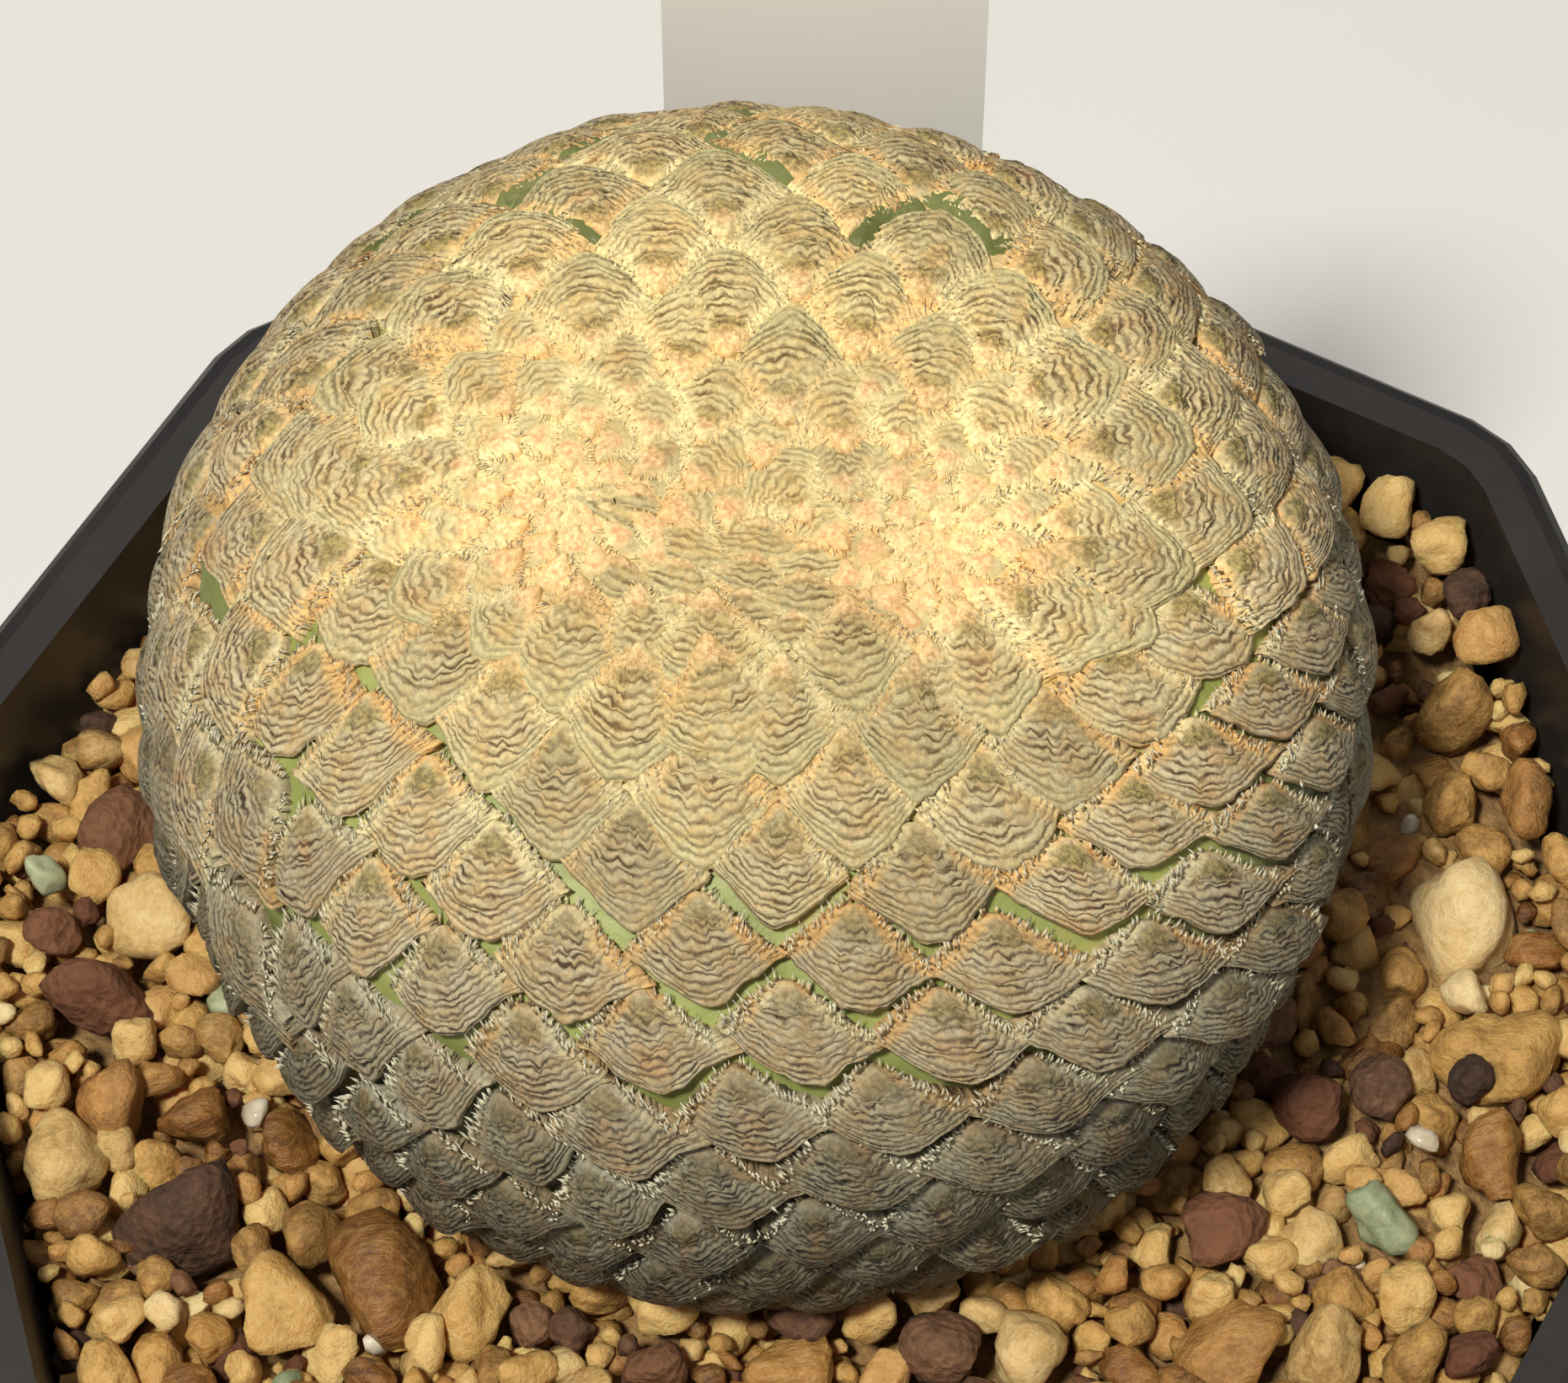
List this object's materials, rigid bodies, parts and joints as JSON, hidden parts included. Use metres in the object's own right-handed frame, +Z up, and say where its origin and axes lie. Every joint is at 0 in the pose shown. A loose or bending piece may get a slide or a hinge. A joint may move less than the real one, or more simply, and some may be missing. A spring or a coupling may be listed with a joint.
{
  "type": "potted euphorbia",
  "caption": "Globular euphorbia covered in fish-like scales, with two growing points, standing in gravel in a small eight-sided plastic pot with a blank plant label.",
  "frame": {"origin": "middle of the pot's underside, on the surface it stands on", "axes": "+Z up; X and Y run square to two pairs of the pot's eight sides, and the plant's front is 15.9 degrees from -Y towards -X"},
  "size_m": [0.0794, 0.0794, 0.118],
  "materials": {
    "pot_plastic": "moulded black plastic, satin",
    "gravel_stone": "loose mixed mineral gravel, dry",
    "plant_scales": "dry ridged scales over green skin",
    "label_plastic": "blank white plastic, slightly dusty"
  },
  "bodies": {
    "root": {"pot": "pot_plastic", "gravel": "gravel_stone", "plant": "plant_scales", "label": "label_plastic"}
  },
  "joints": []
}
